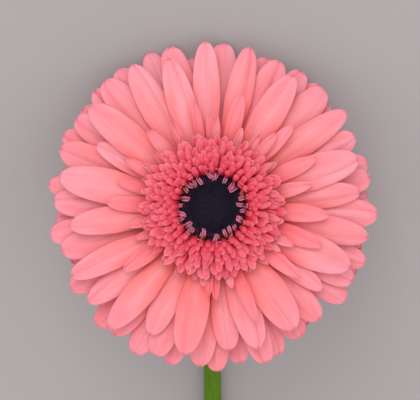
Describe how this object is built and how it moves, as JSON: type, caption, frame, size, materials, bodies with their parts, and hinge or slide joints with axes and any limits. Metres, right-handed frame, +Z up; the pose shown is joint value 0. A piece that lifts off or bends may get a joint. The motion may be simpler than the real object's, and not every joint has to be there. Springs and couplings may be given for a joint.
{
  "type": "cut gerbera",
  "caption": "Cut gerbera lying on its stem and lowest petals, with a tilted coral-pink double head, a dark eye and a bare green stem.",
  "frame": {"origin": "middle of the footprint, on the surface that the flower lies on", "axes": "+Y along the stem from its cut end to the head, +Z up from the surface; the face looks up and towards +Y"},
  "size_m": [0.1116, 0.348, 0.0606],
  "materials": {
    "ray_petal": "satin, coral pink, finely veined",
    "trans_petal": "satin, deeper coral pink",
    "inner_petal": "satin, rose red with paler tips",
    "style": "satin, mauve pink with orange anthers",
    "disc_bud": "matte, blackish purple",
    "bract": "matte, downy green",
    "stem": "matte, finely ridged and downy green"
  },
  "bodies": {
    "root": {"ray_front_01": "ray_petal", "ray_front_02": "ray_petal", "ray_front_03": "ray_petal", "ray_front_04": "ray_petal", "ray_front_05": "ray_petal", "ray_front_06": "ray_petal", "ray_front_07": "ray_petal", "ray_front_08": "ray_petal", "ray_front_09": "ray_petal", "ray_front_10": "ray_petal", "ray_front_11": "ray_petal", "ray_front_12": "ray_petal", "ray_front_13": "ray_petal", "ray_front_14": "ray_petal", "ray_front_15": "ray_petal", "ray_front_16": "ray_petal", "ray_front_17": "ray_petal", "ray_front_18": "ray_petal", "ray_front_19": "ray_petal", "ray_front_20": "ray_petal", "ray_front_21": "ray_petal", "ray_front_22": "ray_petal", "ray_middle_01": "ray_petal", "ray_middle_02": "ray_petal", "ray_middle_03": "ray_petal", "ray_middle_04": "ray_petal", "ray_middle_05": "ray_petal", "ray_middle_06": "ray_petal", "ray_middle_07": "ray_petal", "ray_middle_08": "ray_petal", "ray_middle_09": "ray_petal", "ray_middle_10": "ray_petal", "ray_middle_11": "ray_petal", "ray_middle_12": "ray_petal", "ray_middle_13": "ray_petal", "ray_middle_14": "ray_petal", "ray_middle_15": "ray_petal", "ray_middle_16": "ray_petal", "ray_middle_17": "ray_petal", "ray_middle_18": "ray_petal", "ray_middle_19": "ray_petal", "ray_middle_20": "ray_petal", "ray_middle_21": "ray_petal", "ray_middle_22": "ray_petal", "ray_middle_23": "ray_petal", "ray_middle_24": "ray_petal", "ray_middle_25": "ray_petal", "ray_middle_26": "ray_petal", "ray_middle_27": "ray_petal", "back_ray_florets": "ray_petal", "trans_florets": "trans_petal", "inner_florets_outer": "inner_petal", "inner_florets_middle": "inner_petal", "inner_florets_inner": "inner_petal", "open_disc_florets": "style", "disc_buds": "disc_bud", "receptacle": "bract", "inner_bracts": "bract", "outer_bracts": "bract", "stem": "stem"}
  },
  "joints": []
}
